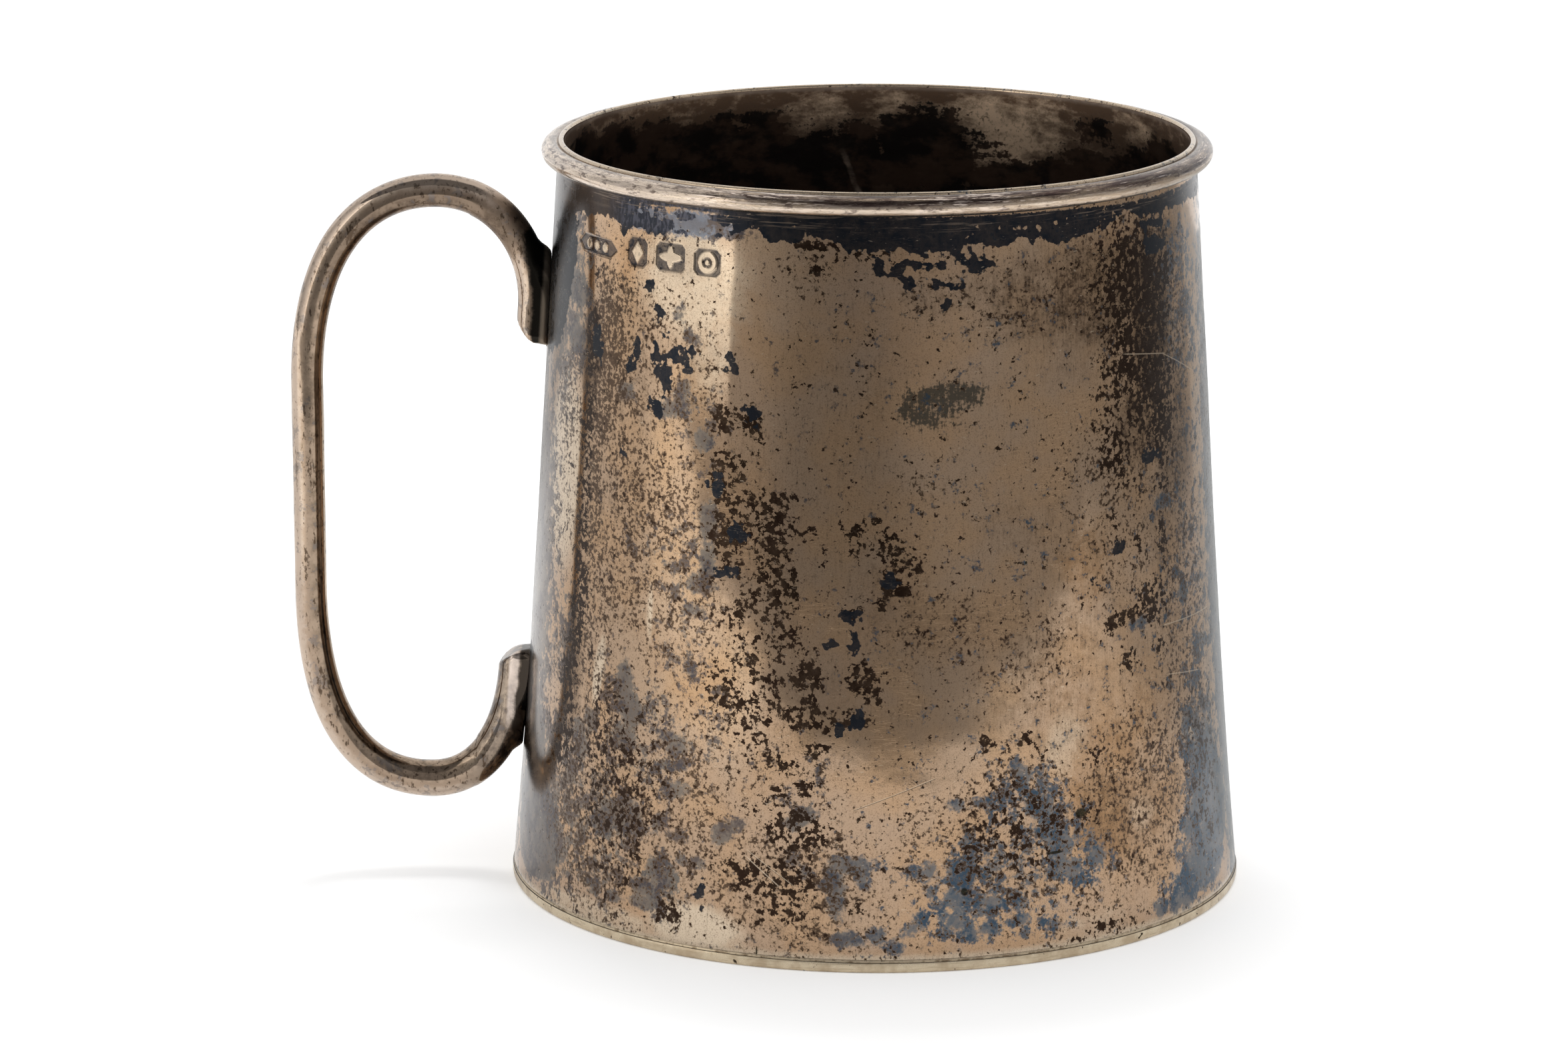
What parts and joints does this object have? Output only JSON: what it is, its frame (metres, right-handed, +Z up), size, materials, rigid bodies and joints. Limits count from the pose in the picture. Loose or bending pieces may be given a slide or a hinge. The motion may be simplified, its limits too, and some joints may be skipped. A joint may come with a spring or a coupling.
{
  "type": "christening mug",
  "caption": "Small tapered silver drinking mug with a flat base, a half-round wire rim and a tall looped wire handle.",
  "frame": {"origin": "middle of the base's underside, on the mug's axis, where the mug stands", "axes": "+Z up along the mug's axis; the handle is on the -X side, in the plane Y = 0"},
  "size_m": [0.0933, 0.072, 0.0737],
  "materials": {
    "wall_silver": "tarnished silver sheet, worn polish",
    "base_silver": "tarnished silver plate, worn polish",
    "rim_silver": "silver wire, worn and dented",
    "handle_silver": "silver wire, satin from handling"
  },
  "bodies": {
    "root": {"body_wall": "wall_silver", "base_disc": "base_silver", "rim_wire": "rim_silver", "handle_wire": "handle_silver"}
  },
  "joints": []
}
